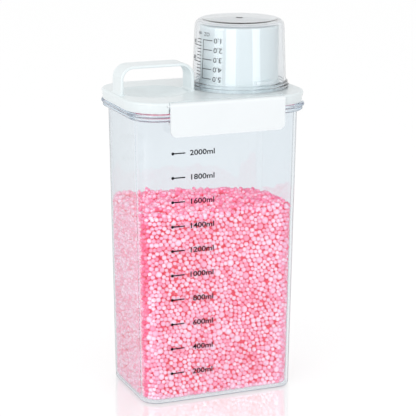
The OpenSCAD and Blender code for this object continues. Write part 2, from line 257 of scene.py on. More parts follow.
@dataclass(frozen=True)
class ClearPlastic:
    """Clear moulded plastic, with painted shade that makes it darker where upright walls are seen edge on and
    on undersides.

    Turn is the range of Facing over which the painted shade darkens a wall, and upright the tilt at
    which it no longer does. Under is how far the painted shade darkens an underside, and edge is
    the colour it darkens to. Rays that have met more surfaces than late pass straight through.
    """

    name: str
    face: Colour
    edge: Colour
    turn: Point2
    upright: float
    under: float
    late: float
    tint: Colour
    density: float
    flow: float
    roughness: float = 0.015
    bump: float = 0.05
    shadow: Colour = (0.96, 0.98, 0.99)
    ior: float = 1.49
    plumb: float = 0.05
    downward: Point2 = (-0.3, -0.8)
    grain_height: float = 0.2

    def make(self) -> bpy.types.Material:
        """Builds the material, through which lamps shine without a hard shadow.

        Returns:
            The material.
        """
        material, tree = new_material(self.name)
        turned = tree.node("ShaderNodeLayerWeight", {"Blend": 0.5}).outputs["Facing"]
        normal = tree.node("ShaderNodeNewGeometry").outputs["Normal"]
        rise = tree.node("ShaderNodeSeparateXYZ", {"Vector": normal}).outputs["Z"]
        # Painted shade: the colour turns to edge where walls are seen edge on and on undersides, for the
        # darker lines that reflection and refraction give there
        painted_edge_share = tree.ranged(turned, self.turn, (0.0, 1.0))
        upright = tree.ranged(tree.math("ABSOLUTE", rise), (self.plumb, self.upright), (1.0, 0.0))
        below = tree.ranged(rise, self.downward, (0.0, self.under))
        painted_edge_and_under_shade = tree.math("MAXIMUM", tree.math("MULTIPLY", painted_edge_share, upright), below)
        grain = MouldGrain.place(tree, self.flow * 6.0, self.flow, 0.0)
        inputs = {
            "Base Color": tree.mixed(painted_edge_and_under_shade, (*self.face, 1.0), (*self.edge, 1.0)),
            "Roughness": self.roughness,
            "IOR": self.ior,
            "Transmission Weight": 1.0,
            "Normal": MouldGrain.bump(tree, grain, self.bump, self.grain_height),
        }
        shader = tree.node("ShaderNodeBsdfPrincipled", inputs).outputs["BSDF"]
        passing = tree.node("ShaderNodeBsdfTransparent", {"Color": (*self.shadow, 1.0)}).outputs["BSDF"]
        ray = tree.node("ShaderNodeLightPath")
        late = tree.math("GREATER_THAN", ray.outputs["Ray Depth"], self.late)
        through = tree.math("MAXIMUM", ray.outputs["Is Shadow Ray"], late)
        mix = tree.node("ShaderNodeMixShader", {"Fac": through, 1: shader, 2: passing})
        inputs = {"Color": (*self.tint, 1.0), "Density": self.density}
        inside = tree.node("ShaderNodeVolumeAbsorption", inputs)
        inputs = {"Surface": mix.outputs["Shader"], "Volume": inside.outputs["Volume"]}
        tree.node("ShaderNodeOutputMaterial", inputs)
        return material


@dataclass(frozen=True)
class BeadCoat:
    """Waxy beads, each with its own shade of pink."""

    name: str
    deep: Colour
    middle: Colour
    pale: Colour
    roughness: float
    # Painted glow: glow is emitted as the wax's own light. Painted shade: the next colour deepens each bead
    # towards its outline, narrower as reach grows.
    glow: Colour
    painted_rim_shade: Colour
    reach: float
    middle_at: float = 0.4
    shine: float = 0.35
    mottle: tuple[float, float, float] = (2600.0, 700.0, 0.3)

    def make(self) -> bpy.types.Material:
        """Builds the material, with painted shade that deepens each bead towards its outline and a painted
        glow that stands in for light in the wax.

        Returns:
            The material.
        """
        material, tree = new_material(self.name)
        each = tree.node("ShaderNodeNewGeometry").outputs["Random Per Island"]
        ramp = tree.node("ShaderNodeValToRGB", {"Fac": each})
        stops = ramp.color_ramp.elements
        stops[0].color = (*self.deep, 1.0)
        stops[1].color = (*self.pale, 1.0)
        stops.new(self.middle_at).color = (*self.middle, 1.0)
        grain = MouldGrain.place(tree, *self.mottle)
        tint = tree.mixed(1.0, ramp.outputs["Color"], grain.outputs["Shade"], "MULTIPLY")
        # Painted shade: the colour deepens towards each bead's outline, where the gaps between beads lie in
        # shade
        turned = tree.node("ShaderNodeLayerWeight", {"Blend": 0.5}).outputs["Facing"]
        share = tree.math("POWER", turned, self.reach, clamp=True)
        inputs = {
            "Base Color": tree.mixed(share, tint, (*self.painted_rim_shade, 1.0)),
            "Roughness": self.roughness,
            "Specular IOR Level": self.shine,
            # Painted glow: the wax gives off faint light of its own
            "Emission Color": (*self.glow, 1.0),
            "Emission Strength": 1.0,
        }
        shader = tree.node("ShaderNodeBsdfPrincipled", inputs)
        tree.node("ShaderNodeOutputMaterial", {"Surface": shader.outputs["BSDF"]})
        return material


@dataclass(frozen=True)
class StudioFloor:
    """White floor that keeps the object's shadow and a faint reflection of it."""

    name: str
    colour: Colour
    glow: float
    gloss: float
    blur: float = 0.08

    def make(self) -> bpy.types.Material:
        """Builds the material, which looks white to the camera and in gloss and glass.

        Returns:
            The material.
        """
        material, tree = new_material(self.name)
        matt = tree.node("ShaderNodeBsdfDiffuse", {"Color": (*self.colour, 1.0)}).outputs["BSDF"]
        mirror = tree.node("ShaderNodeBsdfGlossy", {"Roughness": self.blur}).outputs["BSDF"]
        mix = tree.node("ShaderNodeMixShader", {"Fac": self.gloss, 1: matt, 2: mirror})
        glow = tree.node("ShaderNodeEmission", {"Strength": seen_directly(tree, self.glow)})
        inputs = {0: mix.outputs["Shader"], 1: glow.outputs["Emission"]}
        total = tree.node("ShaderNodeAddShader", inputs)
        tree.node("ShaderNodeOutputMaterial", {"Surface": total.outputs["Shader"]})
        return material


def seen_directly(tree: Tree, strength: float) -> bpy.types.NodeSocket:
    """A value that is there only for camera, gloss and glass rays.

    Args:
        tree: The tree to build in.
        strength: The value on those rays.

    Returns:
        The socket that holds the value.
    """
    ray = tree.node("ShaderNodeLightPath")
    total = ray.outputs["Is Camera Ray"]
    for kind in ("Is Glossy Ray", "Is Transmission Ray"):
        total = tree.math("MAXIMUM", total, ray.outputs[kind])
    return tree.math("MULTIPLY", total, strength)


# Meshes.


def mesh_object(
    name: str, points: Sequence, faces: Sequence, material: bpy.types.Material
) -> bpy.types.Object:
    """Makes an object from points in millimetres.

    Args:
        name: The object's name.
        points: The points.
        faces: The faces, as lists of point numbers.
        material: Its material.

    Returns:
        The new object.
    """
    mesh = bpy.data.meshes.new(name)
    mesh.from_pydata((np.asarray(points, dtype=float) * MM).tolist(), [], faces)
    mesh.materials.append(material)
    mesh.update()
    made = bpy.data.objects.new(name, mesh)
    bpy.context.scene.collection.objects.link(made)
    return made


def smooth(made: bpy.types.Object, limit: float = 32.0) -> None:
    """Shades an object smooth, apart from edges sharper than the limit.

    Args:
        made: The object.
        limit: The limit in degrees.
    """
    shape = bmesh.new()
    shape.from_mesh(made.data)
    for face in shape.faces:
        face.smooth = True
    for edge in shape.edges:
        edge.smooth = edge.calc_face_angle(0.0) < math.radians(limit)
    shape.to_mesh(made.data)
    shape.free()
    weighted = made.modifiers.new("Flat faces stay flat", "WEIGHTED_NORMAL")
    weighted.keep_sharp = True


def hand_over(made: bpy.types.Object, body: Body, slot: str, *nodes: str) -> bpy.types.Object:
    """Tells the frame where a piece belongs, and reports it.

    Args:
        made: The piece.
        body: The body that it moves with.
        slot: Not used.
        nodes: CAD nodes that it stands for.

    Returns:
        The piece.
    """
    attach(made, body.value)
    if nodes:
        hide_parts(*nodes)
    log.info("%s: %d faces on %s", made.name, len(made.data.polygons), body.value)
    return made


@dataclass(frozen=True)
class Outline:
    """Rounded rectangle, with offsets measured outwards, in millimetres."""

    width: float
    depth: float
    radius: float
    steps: int = 14

    def ring(self, offset: float, z: float) -> list[tuple[float, float, float]]:
        """Points round the outline, anticlockwise.

        Args:
            offset: How far outwards the ring lies.
            z: Its height.

        Returns:
            The points.
        """
        radius = max(self.radius + offset, 0.2)
        across = self.width / 2 + offset - radius
        along = self.depth / 2 + offset - radius
        points = []
        for turn, (sx, sy) in enumerate(((1, 1), (-1, 1), (-1, -1), (1, -1))):
            for step in range(self.steps + 1):
                angle = math.radians(90.0 * (turn + step / self.steps))
                x = sx * across + radius * math.cos(angle)
                y = sy * along + radius * math.sin(angle)
                points.append((x, y, z))
        return points


def arc(centre: Point2, radius: float, start: float, end: float, steps: int) -> list[Point2]:
    """Points along an arc.

    Args:
        centre: The arc's centre.
        radius: Its radius.
        start: First angle in degrees.
        end: Last angle in degrees.
        steps: Number of steps between them.

    Returns:
        The points.
    """
    angles = [math.radians(start + (end - start) * step / steps) for step in range(steps + 1)]
    return [(centre[0] + radius * math.cos(a), centre[1] + radius * math.sin(a)) for a in angles]


def skin(rings: Sequence[Sequence]) -> tuple[list, list]:
    """Joins rings of points into a closed body, with a flat face on the first and the last.

    Args:
        rings: Rings with equally many points, anticlockwise.

    Returns:
        Points and faces.
    """
    count = len(rings[0])
    points = [point for ring in rings for point in ring]
    faces = [list(range(count))[::-1]]
    for level in range(len(rings) - 1):
        low = level * count
        for step in range(count):
            after = (step + 1) % count
            faces.append([low + step, low + after, low + count + after, low + count + step])
    faces.append([(len(rings) - 1) * count + step for step in range(count)])
    return points, faces


def lathe(profile: Sequence[Point2], steps: int, middle: Point2) -> tuple[list, list]:
    """Turns a closed half-section about an upright axis.

    Args:
        profile: Radius and height pairs, up the outside and down the inside.
        steps: Number of steps round the axis.
        middle: The axis, as x and y.

    Returns:
        Points and faces.
    """
    points = []
    rows = []
    for radius, z in profile:
        if radius < 1e-6:
            rows.append([len(points)] * steps)
            points.append((middle[0], middle[1], z))
            continue
        rows.append([len(points) + step for step in range(steps)])
        for step in range(steps):
            angle = 2 * math.pi * step / steps
            points.append((middle[0] + radius * math.cos(angle), middle[1] + radius * math.sin(angle), z))
    faces = []
    for low, high in zip(rows, rows[1:] + rows[:1]):
        for step in range(steps):
            after = (step + 1) % steps
            corners = [low[step], low[after], high[after], high[step]]
            unlike = list(dict.fromkeys(corners))
            if len(unlike) > 2:
                faces.append(unlike)
    return points, faces


# The jar.


@dataclass
class Jar:
    """The clear jar, in millimetres."""

    outline: Outline = field(default_factory=lambda: Outline(127.4, 84.6, 14.0))
    draft: float = 0.016
    wall: float = 2.2
    floor: float = 2.2
    foot_r: float = 1.8
    flange_z: float = 227.5
    flange_out: float = 5.7
    flange_bead: float = 3.0
    flange_step: float = 1.2
    rim_h: float = 3.3
    lip_r: float = 0.5

    def inner_offset(self, z: float) -> float:
        """How far the inside of the wall lies from the outline at the foot."""
        return self.draft * z - self.wall

    def profile(self) -> list[Point2]:
        """The half-section, as offset and height pairs, up the outside and down the inside."""
        foot = arc((-self.foot_r, self.foot_r), self.foot_r, 270, 360, 6)
        path = [(o + self.draft * z, z) for o, z in foot]
        wall_low = self.draft * self.flange_z
        bead_r = self.flange_bead / 2
        path.append((wall_low, self.flange_z - 1.2))
        path.append((wall_low + 0.35, self.flange_z - 0.35))
        path.append((wall_low + 1.2, self.flange_z))
        edge = wall_low + self.flange_out - bead_r
        path += arc((edge - self.flange_step, self.flange_z + bead_r), bead_r, -90, 72, 8)
        path += arc((edge, self.flange_z + 3 * bead_r), bead_r, -72, 90, 8)
        top = self.flange_z + 2 * self.flange_bead
        rim_z = top + self.rim_h
        rim_out = self.draft * rim_z
        path += [(rim_out + 0.9, top), (rim_out + 0.25, top + 0.25), (rim_out, top + 0.9)]
        path += arc((rim_out - self.lip_r, rim_z - self.lip_r), self.lip_r, 0, 90, 3)
        path += arc((rim_out - self.wall + self.lip_r, rim_z - self.lip_r), self.lip_r, 90, 180, 3)
        inner = arc((-self.wall - self.foot_r, self.floor + self.foot_r), self.foot_r, 0, -90, 6)
        path += [(o + self.draft * z, z) for o, z in inner]
        return path

    def build(self, material: bpy.types.Material) -> bpy.types.Object:
        """Makes the jar.

        Args:
            material: The clear plastic.

        Returns:
            The jar.
        """
        rings = [self.outline.ring(offset, z) for offset, z in self.profile()]
        points, faces = skin(rings)
        made = mesh_object("clear_jar", points, faces, material)
        smooth(made)
        return hand_over(made, Body.CONTAINER, "jar_clear", "jar")


# The measuring cup.


@dataclass
class Cup:
    """The clear cup over the neck, mouth down, in millimetres."""

    middle: Point2 = (31.54, 0.0)
    mouth_z: float = 242.5
    height: float = 53.7
    inner_r: float = 35.8
    wall: float = 1.6
    floor: float = 1.8
    draw: float = 2.1
    edge_r: float = 6.0
    lip_out: float = 1.9
    lip_h: float = 4.8
    lip_r: float = 0.7
    lip_split: float = 2.6
    lip_step: float = 0.8
    gate_r: float = 3.0
    gate_dip: float = 0.45

    def outer_radius(self, z: float) -> float:
        """Radius of the cup's outside at a height."""
        rise = (z - self.mouth_z) / (self.height - self.edge_r)
        return self.inner_r + self.wall - self.draw * rise

    def profile(self) -> list[Point2]:
        """The half-section, up the outside and down the inside."""
        low = self.mouth_z
        top = low + self.height
        outer = self.inner_r + self.wall
        lip = outer + self.lip_out - self.lip_r
        high = outer - self.draw
        inner_edge = self.edge_r - self.wall
        path = [(self.inner_r, low)]
        split = low + self.lip_split
        path += arc((lip, low + self.lip_r), self.lip_r, -90, 0, 5)
        path += arc((lip, split - self.lip_r), self.lip_r, 0, 80, 5)
        path += arc((lip - self.lip_step, split + self.lip_r), self.lip_r, -80, 0, 5)
        path += arc((lip - self.lip_step, low + self.lip_h - self.lip_r), self.lip_r, 0, 90, 5)
        path.append((outer + 0.5, low + self.lip_h))
        path.append((self.outer_radius(low + self.lip_h + 0.5), low + self.lip_h + 0.5))
        path += arc((high - self.edge_r, top - self.edge_r), self.edge_r, 0, 90, 10)
        path.append((self.gate_r, top))
        path.append((self.gate_r - 0.5, top - self.gate_dip))
        path.append((1.1, top - self.gate_dip))
        path.append((0.9, top - 0.1))
        path.append((0.0, top - 0.1))
        path.append((0.0, top - self.floor))
        path += arc((high - self.edge_r, top - self.floor - inner_edge), inner_edge, 90, 0, 8)
        return path

    def build(self, material: bpy.types.Material) -> bpy.types.Object:
        """Makes the cup.

        Args:
            material: The clear plastic.

        Returns:
            The cup.
        """
        points, faces = lathe(self.profile(), 160, self.middle)
        made = mesh_object("clear_cup", points, faces, material)
        smooth(made)
        return hand_over(made, Body.CUP, "cup_clear", "measuring_cup")


# Printed scales.


class InkSheet:
    """Collects printed marks, which a mapping lays on a surface as thin solids."""

    def __init__(self, place: Callable[[float, float, float], tuple], thickness: float = 0.05) -> None:
        """Starts an empty sheet.

        Args:
            place: Turns x and y on the sheet, and height over it, into a point in millimetres.
            thickness: Thickness of the ink.
        """
        self.place = place
        self.thickness = thickness
        self.points: list[tuple] = []
        self.faces: list[list[int]] = []

    def add(self, flat: Iterable[tuple[float, float, float]], faces: Iterable[Sequence[int]]) -> None:
        """Adds a small solid.

        Args:
            flat: Its points on the sheet.
            faces: Its faces.
        """
        first = len(self.points)
        self.points += [self.place(*point) for point in flat]
        self.faces += [[first + corner for corner in face] for face in faces]

    def bar(self, x0: float, x1: float, y0: float, y1: float, step: float = 1.0) -> None:
        """Adds a line.

        Args:
            x0: Left end.
            x1: Right end.
            y0: Lower edge.
            y1: Upper edge.
            step: Longest straight piece across a curved surface.
        """
        count = max(1, math.ceil((x1 - x0) / step))
        rings = []
        for i in range(count + 1):
            x = x0 + (x1 - x0) * i / count
            rings.append([(x, y0, 0.0), (x, y1, 0.0), (x, y1, self.thickness), (x, y0, self.thickness)])
        self.add(*skin(rings))

    def dot(self, x: float, y: float, radius: float) -> None:
        """Adds a round dot."""
        rings = []
        for z in (0.0, self.thickness):
            turn = [2 * math.pi * i / 20 for i in range(20)]
            rings.append([(x + radius * math.cos(a), y + radius * math.sin(a), z) for a in turn])
        self.add(*skin(rings))

    def word(
        self,
        text: str,
        x: float,
        y: float,
        height: float,
        align: Align,
        stretch: float = 1.0,
        bold: float = 0.0,
    ) -> None:
        """Adds figures and letters.

        Args:
            text: What is printed.
            x: Where it is aligned.
            y: Its middle.
            height: Height of its figures.
            align: How it lies against x.
            stretch: How much wider than usual its letters are, below zero for a word that
                stands on its head.
            bold: How far its lines are thickened, as a share of its height.
        """
        curve = bpy.data.curves.new("word", "FONT")
        curve.body = text
        curve.size = height / FIGURE_SHARE
        curve.align_x = align.value
        curve.resolution_u = 3
        curve.extrude = self.thickness / 2
        curve.offset = height * bold
        holder = bpy.data.objects.new("word", curve)
        mesh = bpy.data.meshes.new_from_object(holder)
        turn = math.copysign(1.0, stretch)
        flat = [
            (x + stretch * v.co.x, y + turn * (v.co.y - height / 2), v.co.z + self.thickness / 2)
            for v in mesh.vertices
        ]
        self.add(flat, [list(face.vertices) for face in mesh.polygons])
        bpy.data.objects.remove(holder)
        bpy.data.curves.remove(curve)
        bpy.data.meshes.remove(mesh)

    def build(self, name: str, material: bpy.types.Material) -> bpy.types.Object:
        """Makes one object of all marks.

        Args:
            name: The object's name.
            material: The ink.

        Returns:
            The object.
        """
        return mesh_object(name, self.points, self.faces, material)


@dataclass
class JarScale:
    """Printed litre marks on the jar's front, in millimetres."""

    jar: Jar
    heights: tuple[float, ...] = (24.5, 44.9, 65.1, 85.1, 104.9, 124.6, 144.1, 163.5, 182.7, 201.8)
    step_ml: int = 200
    dot_x: float = -42.4
    dot_r: float = 1.2
    tick_end: float = -32.2
    tick_t: float = 0.95
    text_end: float = -7.7
    text_h: float = 4.2
    text_stretch: float = 1.2
    text_bold: float = 0.026
    clearance: float = 0.02

    def place(self, x: float, y: float, out: float) -> tuple[float, float, float]:
        """Puts a point of the sheet on the jar's leaning front."""
        face = self.jar.outline.depth / 2 + self.jar.draft * y
        return (x, -face - self.clearance - out, y)

    def build(self, material: bpy.types.Material) -> bpy.types.Object:
        """Makes the scale.

        Args:
            material: The ink.

        Returns:
            The scale.
        """
        sheet = InkSheet(self.place)
        for number, z in enumerate(self.heights, start=1):
            half = self.tick_t / 2
            start = self.dot_x + self.dot_r / 2
            sheet.dot(self.dot_x, z, self.dot_r)
            sheet.bar(start, self.tick_end, z - half, z + half, step=self.tick_end - start)
            label = f"{number * self.step_ml}ml"
            stretch, bold = self.text_stretch, self.text_bold
            sheet.word(label, self.text_end, z, self.text_h, Align.RIGHT, stretch, bold)
        made = sheet.build("jar_scale", material)
        return hand_over(made, Body.CONTAINER, "ink")


@dataclass
class CupScale:
    """Printed marks on the cup, upside down at rest, in millimetres and degrees."""

    cup: Cup
    line_angle: float = -164.5
    top_z: float = 282.0
    ounce_z: float = 7.45
    ounces: int = 5
    ounce_tick: float = 9.5
    label_x: float = 14.8
    label_h: float = 4.0
    line_t: float = 0.52
    gap: float = 2.6
    small_tick: float = 6.0
    large_tick: float = 12.5
    ml_per_mark: int = 10
    first_ml: int = 30
    marks_per_ounce: float = 2.96
    ounce_stretch: float = -1.15
    label_in: float = 1.5
    label_rise: float = 2.4
    head_rise: float = 4.4
    clearance: float = 0.02

    def place(self, x: float, y: float, out: float) -> tuple[float, float, float]:
        """Puts a point of the sheet on the cup, with x along its round from the line."""
        radius = self.cup.outer_radius(y) + self.clearance + out
        angle = math.radians(self.line_angle) + x / self.cup.outer_radius(y)
        middle = self.cup.middle
        return (middle[0] + radius * math.cos(angle), middle[1] + radius * math.sin(angle), y)

    def build(self, material: bpy.types.Material) -> bpy.types.Object:
        """Makes the scale.

        Args:
            material: The ink.

        Returns:
            The scale.
        """
        sheet = InkSheet(self.place)
        half = self.line_t / 2
        low_z = self.top_z - self.ounce_z * (self.ounces - 1)
        sheet.bar(-half, half, low_z - half, self.top_z + half)
        for number in range(self.ounces):
            z = self.top_z - self.ounce_z * number
            sheet.bar(half, self.ounce_tick, z - half, z + half)
            label = f"{number + 1}.0"
            sheet.word(label, self.label_x, z, self.label_h, Align.CENTRE, self.ounce_stretch)
        mark = self.ounce_z / self.marks_per_ounce
        count = int((self.top_z - low_z) / mark) + 1
        for number in range(count):
            z = self.top_z - mark * number
            named = number % 5 == 2
            start = -self.gap - (self.large_tick if named else self.small_tick)
            sheet.bar(start, -self.gap, z - half, z + half)
            if named:
                label = str(self.first_ml + self.ml_per_mark * number)
                at = (start + self.label_in, z + self.label_rise)
                sheet.word(label, *at, self.label_h * 0.8, Align.CENTRE, -1.0)
        for text, x in (("OZ", 3.6), ("ml", -4.7)):
            sheet.word(text, x, self.top_z + self.head_rise, self.label_h * 0.75, Align.CENTRE, -1.0)
        made = sheet.build("cup_scale", material)
        return hand_over(made, Body.CUP, "ink")


# The fill.


@dataclass
class BeadLayer:
    """Beads that have been given a place, in millimetres."""

    centres: np.ndarray
    radii: np.ndarray

    def part(self, keep: np.ndarray) -> "BeadLayer":
        """The beads that a mask keeps."""
        return BeadLayer(self.centres[keep], self.radii[keep])

    def build(self, name: str, detail: int, material: bpy.types.Material, seed: int) -> bpy.types.Object:
        """Makes one object of all beads, each a little out of round.

        Args:
            name: The object's name.
            detail: 1 for beads of 20 faces, 2 for 80.
            material: The bead finish.
            seed: Seed for their shapes.

        Returns:
            The object.
        """
        random = np.random.default_rng(seed)
        ball = bmesh.new()
        bmesh.ops.create_icosphere(ball, subdivisions=detail, radius=1.0)
        shape = np.array([vertex.co[:] for vertex in ball.verts])
        faces = np.array([[vertex.index for vertex in face.verts] for face in ball.faces])
        ball.free()
        count = len(self.radii)
        turn = random.normal(size=(count, 3, 3))
        turn = np.linalg.qr(turn)[0]
        turned = np.einsum("nij,vj->nvi", turn, shape)
        stretch = random.uniform(0.9, 1.04, size=(count, 1, 3))
        points = turned * stretch * self.radii[:, None, None] + self.centres[:, None, :]
        every = (faces[None] + np.arange(count)[:, None, None] * len(shape)).reshape(-1, 3)
        made = mesh_object(name, points.reshape(-1, 3), every.tolist(), material)
        made.data.polygons.foreach_set("use_smooth", np.ones(len(every), dtype=bool))
        return hand_over(made, Body.CONTAINER, "fill_pink", "beads")


@dataclass
class Fill:
    """The beads in the jar: a layer at the walls, one behind it, the top and the bottom.

    Raised, tilt, lean and twist slope the top, wave and wave_run make its lumps, and peak
    is how far over the level the wall layers reach before the top cuts them off.
    """

    jar: Jar
    level: float = 151.0
    crown: float = 3.0
    raised: float = 0.8
    tilt: float = -1.7
    lean: float = -1.0
    twist: float = -2.3
    peak: float = 4.0
    corner_run: float = 5.2
    wave: float = 1.0
    wave_run: float = 14.0
    gap: float = 0.15
    small: float = 1.4
    large: float = 2.35
    big: float = 2.95
    cover: float = 0.84
    jitter: float = 0.5
    rounds: int = 20
    push: float = 0.7
    big_share: float = 0.05
    layer_depth: float = 2.9
    loose: float = 0.25
    loose_limit: float = 1.2
    scatter: float = 1.0
    scatter_range: Point2 = (-1.8, 2.2)
    under_drop: float = 2.6
    under_keep: float = 0.5
    bottom_keep: float = 3.0
    core_inset: float = 5.2
    core_rise: float = 3.0
    core_drop: float = 6.0
    seed: int = 7

    def radii(self, count: int, random: np.random.Generator) -> np.ndarray:
        """Bead radii, most of them middling and a few large.

        Args:
            count: How many.
            random: The random source.

        Returns:
            The radii.
        """
        sizes = self.small + (self.large - self.small) * random.beta(2.2, 2.6, count)
        sizes[random.random(count) < self.big_share] = self.big
        return sizes

    def spread(self, width: float, height: float, seed: int, wraps: bool) -> tuple[np.ndarray, np.ndarray]:
        """Packs discs into a rectangle by pushing them apart.

        Args:
            width: Width of the rectangle.
            height: Its height.
            seed: Seed for the random start.
            wraps: Whether its left and right edges meet.

        Returns:
            The discs' centres and radii.
        """
        random = np.random.default_rng(seed)
        disc = math.pi * float(np.mean(self.radii(4000, random) ** 2))
        pitch = math.sqrt(2 / math.sqrt(3) * disc / self.cover)
        columns = round(width / pitch)
        rows = round(height * width * self.cover / disc / columns)
        count = columns * rows
        sizes = self.radii(count, random)
        row, column = np.divmod(np.arange(count), columns)
        at = np.column_stack([(column + 0.5 * (row % 2)) * width / columns, (row + 0.5) * height / rows])
        at += random.uniform(-self.jitter, self.jitter, size=(count, 2)) * pitch
        reach = self.big * 2
        for _ in range(self.rounds):
            near = np.arange(count)
            shifts = [(near, 0.0)]
            if wraps:
                shifts.append((near[at[:, 0] < reach], width))
                shifts.append((near[at[:, 0] > width - reach], -width))
            tree = kdtree.KDTree(sum(len(rows) for rows, _ in shifts))
            owners = []
            for rows, shift in shifts:
                for row in rows:
                    tree.insert((at[row, 0] + shift, at[row, 1], 0.0), len(owners))
                    owners.append(row)
            tree.balance()
            push = np.zeros_like(at)
            for row in range(count):
                here = (at[row, 0], at[row, 1], 0.0)
                for place, index, distance in tree.find_range(here, sizes[row] + self.big):
                    other = owners[index]
                    overlap = sizes[row] + sizes[other] - distance
                    if other == row or overlap <= 0 or distance < 1e-6:
                        continue
                    share = 0.5 * overlap / distance
                    push[row, 0] += (here[0] - place.x) * share
                    push[row, 1] += (here[1] - place.y) * share
            at += push * self.push
            at[:, 1] = at[:, 1].clip(sizes, height - sizes)
            at[:, 0] = at[:, 0] % width if wraps else at[:, 0].clip(sizes, width - sizes)
        return at, sizes

    def wall_layer(self, depth: float, top: float, seed: int) -> BeadLayer:
        """Beads that lie against the walls.

        Args:
            depth: How far they are from the wall.
            top: Height of the layer's upper edge.
            seed: Seed for their places.

        Returns:
            The beads.
        """
        offset = self.jar.inner_offset(self.level / 2) - self.gap - depth
        ring = np.array(self.jar.outline.ring(offset, 0.0))[:, :2]
        loop = np.vstack([ring, ring[:1]])
        lengths = np.hypot(*np.diff(loop, axis=0).T)
        along = np.concatenate([[0.0], np.cumsum(lengths)])
        low = self.jar.floor + self.gap
        at, sizes = self.spread(along[-1], top - low, seed, True)
        edge = np.searchsorted(along, at[:, 0], side="right").clip(1, len(ring)) - 1
        share = (at[:, 0] - along[edge]) / lengths[edge]
        tangent = (loop[edge + 1] - loop[edge]) / lengths[edge, None]
        outward = np.stack([tangent[:, 1], -tangent[:, 0]], axis=1)
        spot = loop[edge] + tangent * (share * lengths[edge])[:, None]
        z = at[:, 1] + low
        lean = self.jar.draft * (z - self.level / 2)
        foot = np.clip(self.jar.foot_r * 0.5 + self.jar.floor - z + sizes, 0, None) * 0.5
        random = np.random.default_rng(seed + 1)
        loose = random.exponential(self.loose, len(z)).clip(0, self.loose_limit)
        spot = spot + outward * (lean - sizes - foot - loose)[:, None]
        layer = BeadLayer(np.column_stack([spot, z]), sizes)
        return layer.part(z + 0.6 * sizes < self.level_at(spot) - depth * 0.5)

    def level_at(self, at: np.ndarray) -> np.ndarray:
        """Height of the fill's top, crowned in the middle, sloped and lumpy.

        Args:
            at: Places in the plane, one in each row.

        Returns:
            The heights.
        """
        half_w = self.jar.outline.width / 2
        half_d = self.jar.outline.depth / 2
        x, y = at[:, 0] / half_w, at[:, 1] / half_d
        rise = (1 - x**4) * (1 - y**4)
        turn = 2 * math.pi / self.wave_run
        lumps = np.sin(at[:, 0] * turn) * np.cos(at[:, 1] * turn * 0.8 + 1.0)
        lumps = lumps + np.sin((at[:, 0] + at[:, 1]) * turn * 0.6)
        slope = self.raised + self.tilt * x + self.lean * y + self.twist * x * y
        return self.level + self.crown * 0.6 * rise.clip(0, 1) + self.wave * lumps + slope

    def flat_layer(self, drop: float, seed: int) -> tuple[np.ndarray, np.ndarray]:
        """Beads spread over the jar's inside, seen from above.

        Args:
            drop: How far the layer keeps from the walls.
            seed: Seed for their places.

        Returns:
            Centres in the plane, and radii.
        """
        offset = self.jar.inner_offset(self.level) - self.gap - drop
        width = self.jar.outline.width + 2 * offset
        depth = self.jar.outline.depth + 2 * offset
        at, sizes = self.spread(width, depth, seed, False)
        at -= (width / 2, depth / 2)
        radius = self.jar.outline.radius + offset
        beyond = np.abs(at) - (width / 2 - radius, depth / 2 - radius)
        corner = (beyond > 0).all(axis=1) & (np.hypot(*beyond.T) + sizes > radius)
        return at[~corner], sizes[~corner]

    def build(
        self,
        material: bpy.types.Material,
        upper: bpy.types.Material,
        edge: bpy.types.Material,
        deep: bpy.types.Material,
    ) -> list[bpy.types.Object]:
        """Makes all pieces of the fill.

        Args:
            material: The finish of the beads at the walls.
            upper: The finish of the beads on top, a copy with painted shade and painted glow.
            edge: The finish of the beads in the jar's front corners, painted deeper as shade for the corners'
                refraction.
            deep: The darker finish of painted shade for the beads behind them, which the light reaches only
                through others, for those under the top and for the core.

        Returns:
            The pieces.
        """
        made = []
        outer = self.wall_layer(0.0, self.level + self.peak, self.seed)
        facing = self.facing(outer.centres)
        x, y = outer.centres[:, 0], outer.centres[:, 1]
        ahead = y < self.jar.outline.radius - self.jar.outline.depth / 2
        cornered = ahead & (np.abs(x) > self.jar.outline.width / 2 - self.corner_run)
        # The front corners' beads take the finish painted deeper for the corners' refraction
        made.append(outer.part(cornered).build("beads_corners", 2, edge, self.seed + 5))
        for number, side in enumerate(Side):
            layer = outer.part((facing == number) & ~cornered)
            detail = 1 if side is Side.REAR else 2
            made.append(layer.build(f"beads_{side.value}", detail, material, self.seed + number))
        # The layer behind, the beads under the top and the core take the darker finish of painted shade
        behind = self.wall_layer(self.layer_depth, self.level + self.peak, self.seed + 10)
        made.append(behind.build("beads_behind", 1, deep, self.seed + 11))
        random = np.random.default_rng(self.seed + 20)
        at, sizes = self.flat_layer(0.0, self.seed + 21)
        scatter = random.normal(0.0, self.scatter, len(at)).clip(*self.scatter_range)
        z = self.level_at(at) - sizes + scatter
        top = BeadLayer(np.column_stack([at, z]), sizes)
        made.append(top.build("beads_top", 2, upper, self.seed + 22))
        at, sizes = self.flat_layer(self.under_keep, self.seed + 23)
        z = self.level_at(at) - sizes - self.under_drop
        under = BeadLayer(np.column_stack([at, z]), sizes)
        made.append(under.build("beads_under", 1, deep, self.seed + 24))
        at, sizes = self.flat_layer(self.bottom_keep, self.seed + 25)
        low = BeadLayer(np.column_stack([at, self.jar.floor + self.gap + sizes]), sizes)
        made.append(low.build("beads_bottom", 1, material, self.seed + 26))
        made.append(self.core(deep))
        return made

    def facing(self, centres: np.ndarray) -> np.ndarray:
        """Which side each bead of the wall layer lies at, by the number of the side."""
        reach = self.jar.outline.width - self.jar.outline.depth
        x, y = centres[:, 0], centres[:, 1]
        ahead = np.abs(y) + reach / 2 > np.abs(x)
        return np.where(ahead, np.where(y < 0, 0, 2), np.where(x > 0, 1, 3))

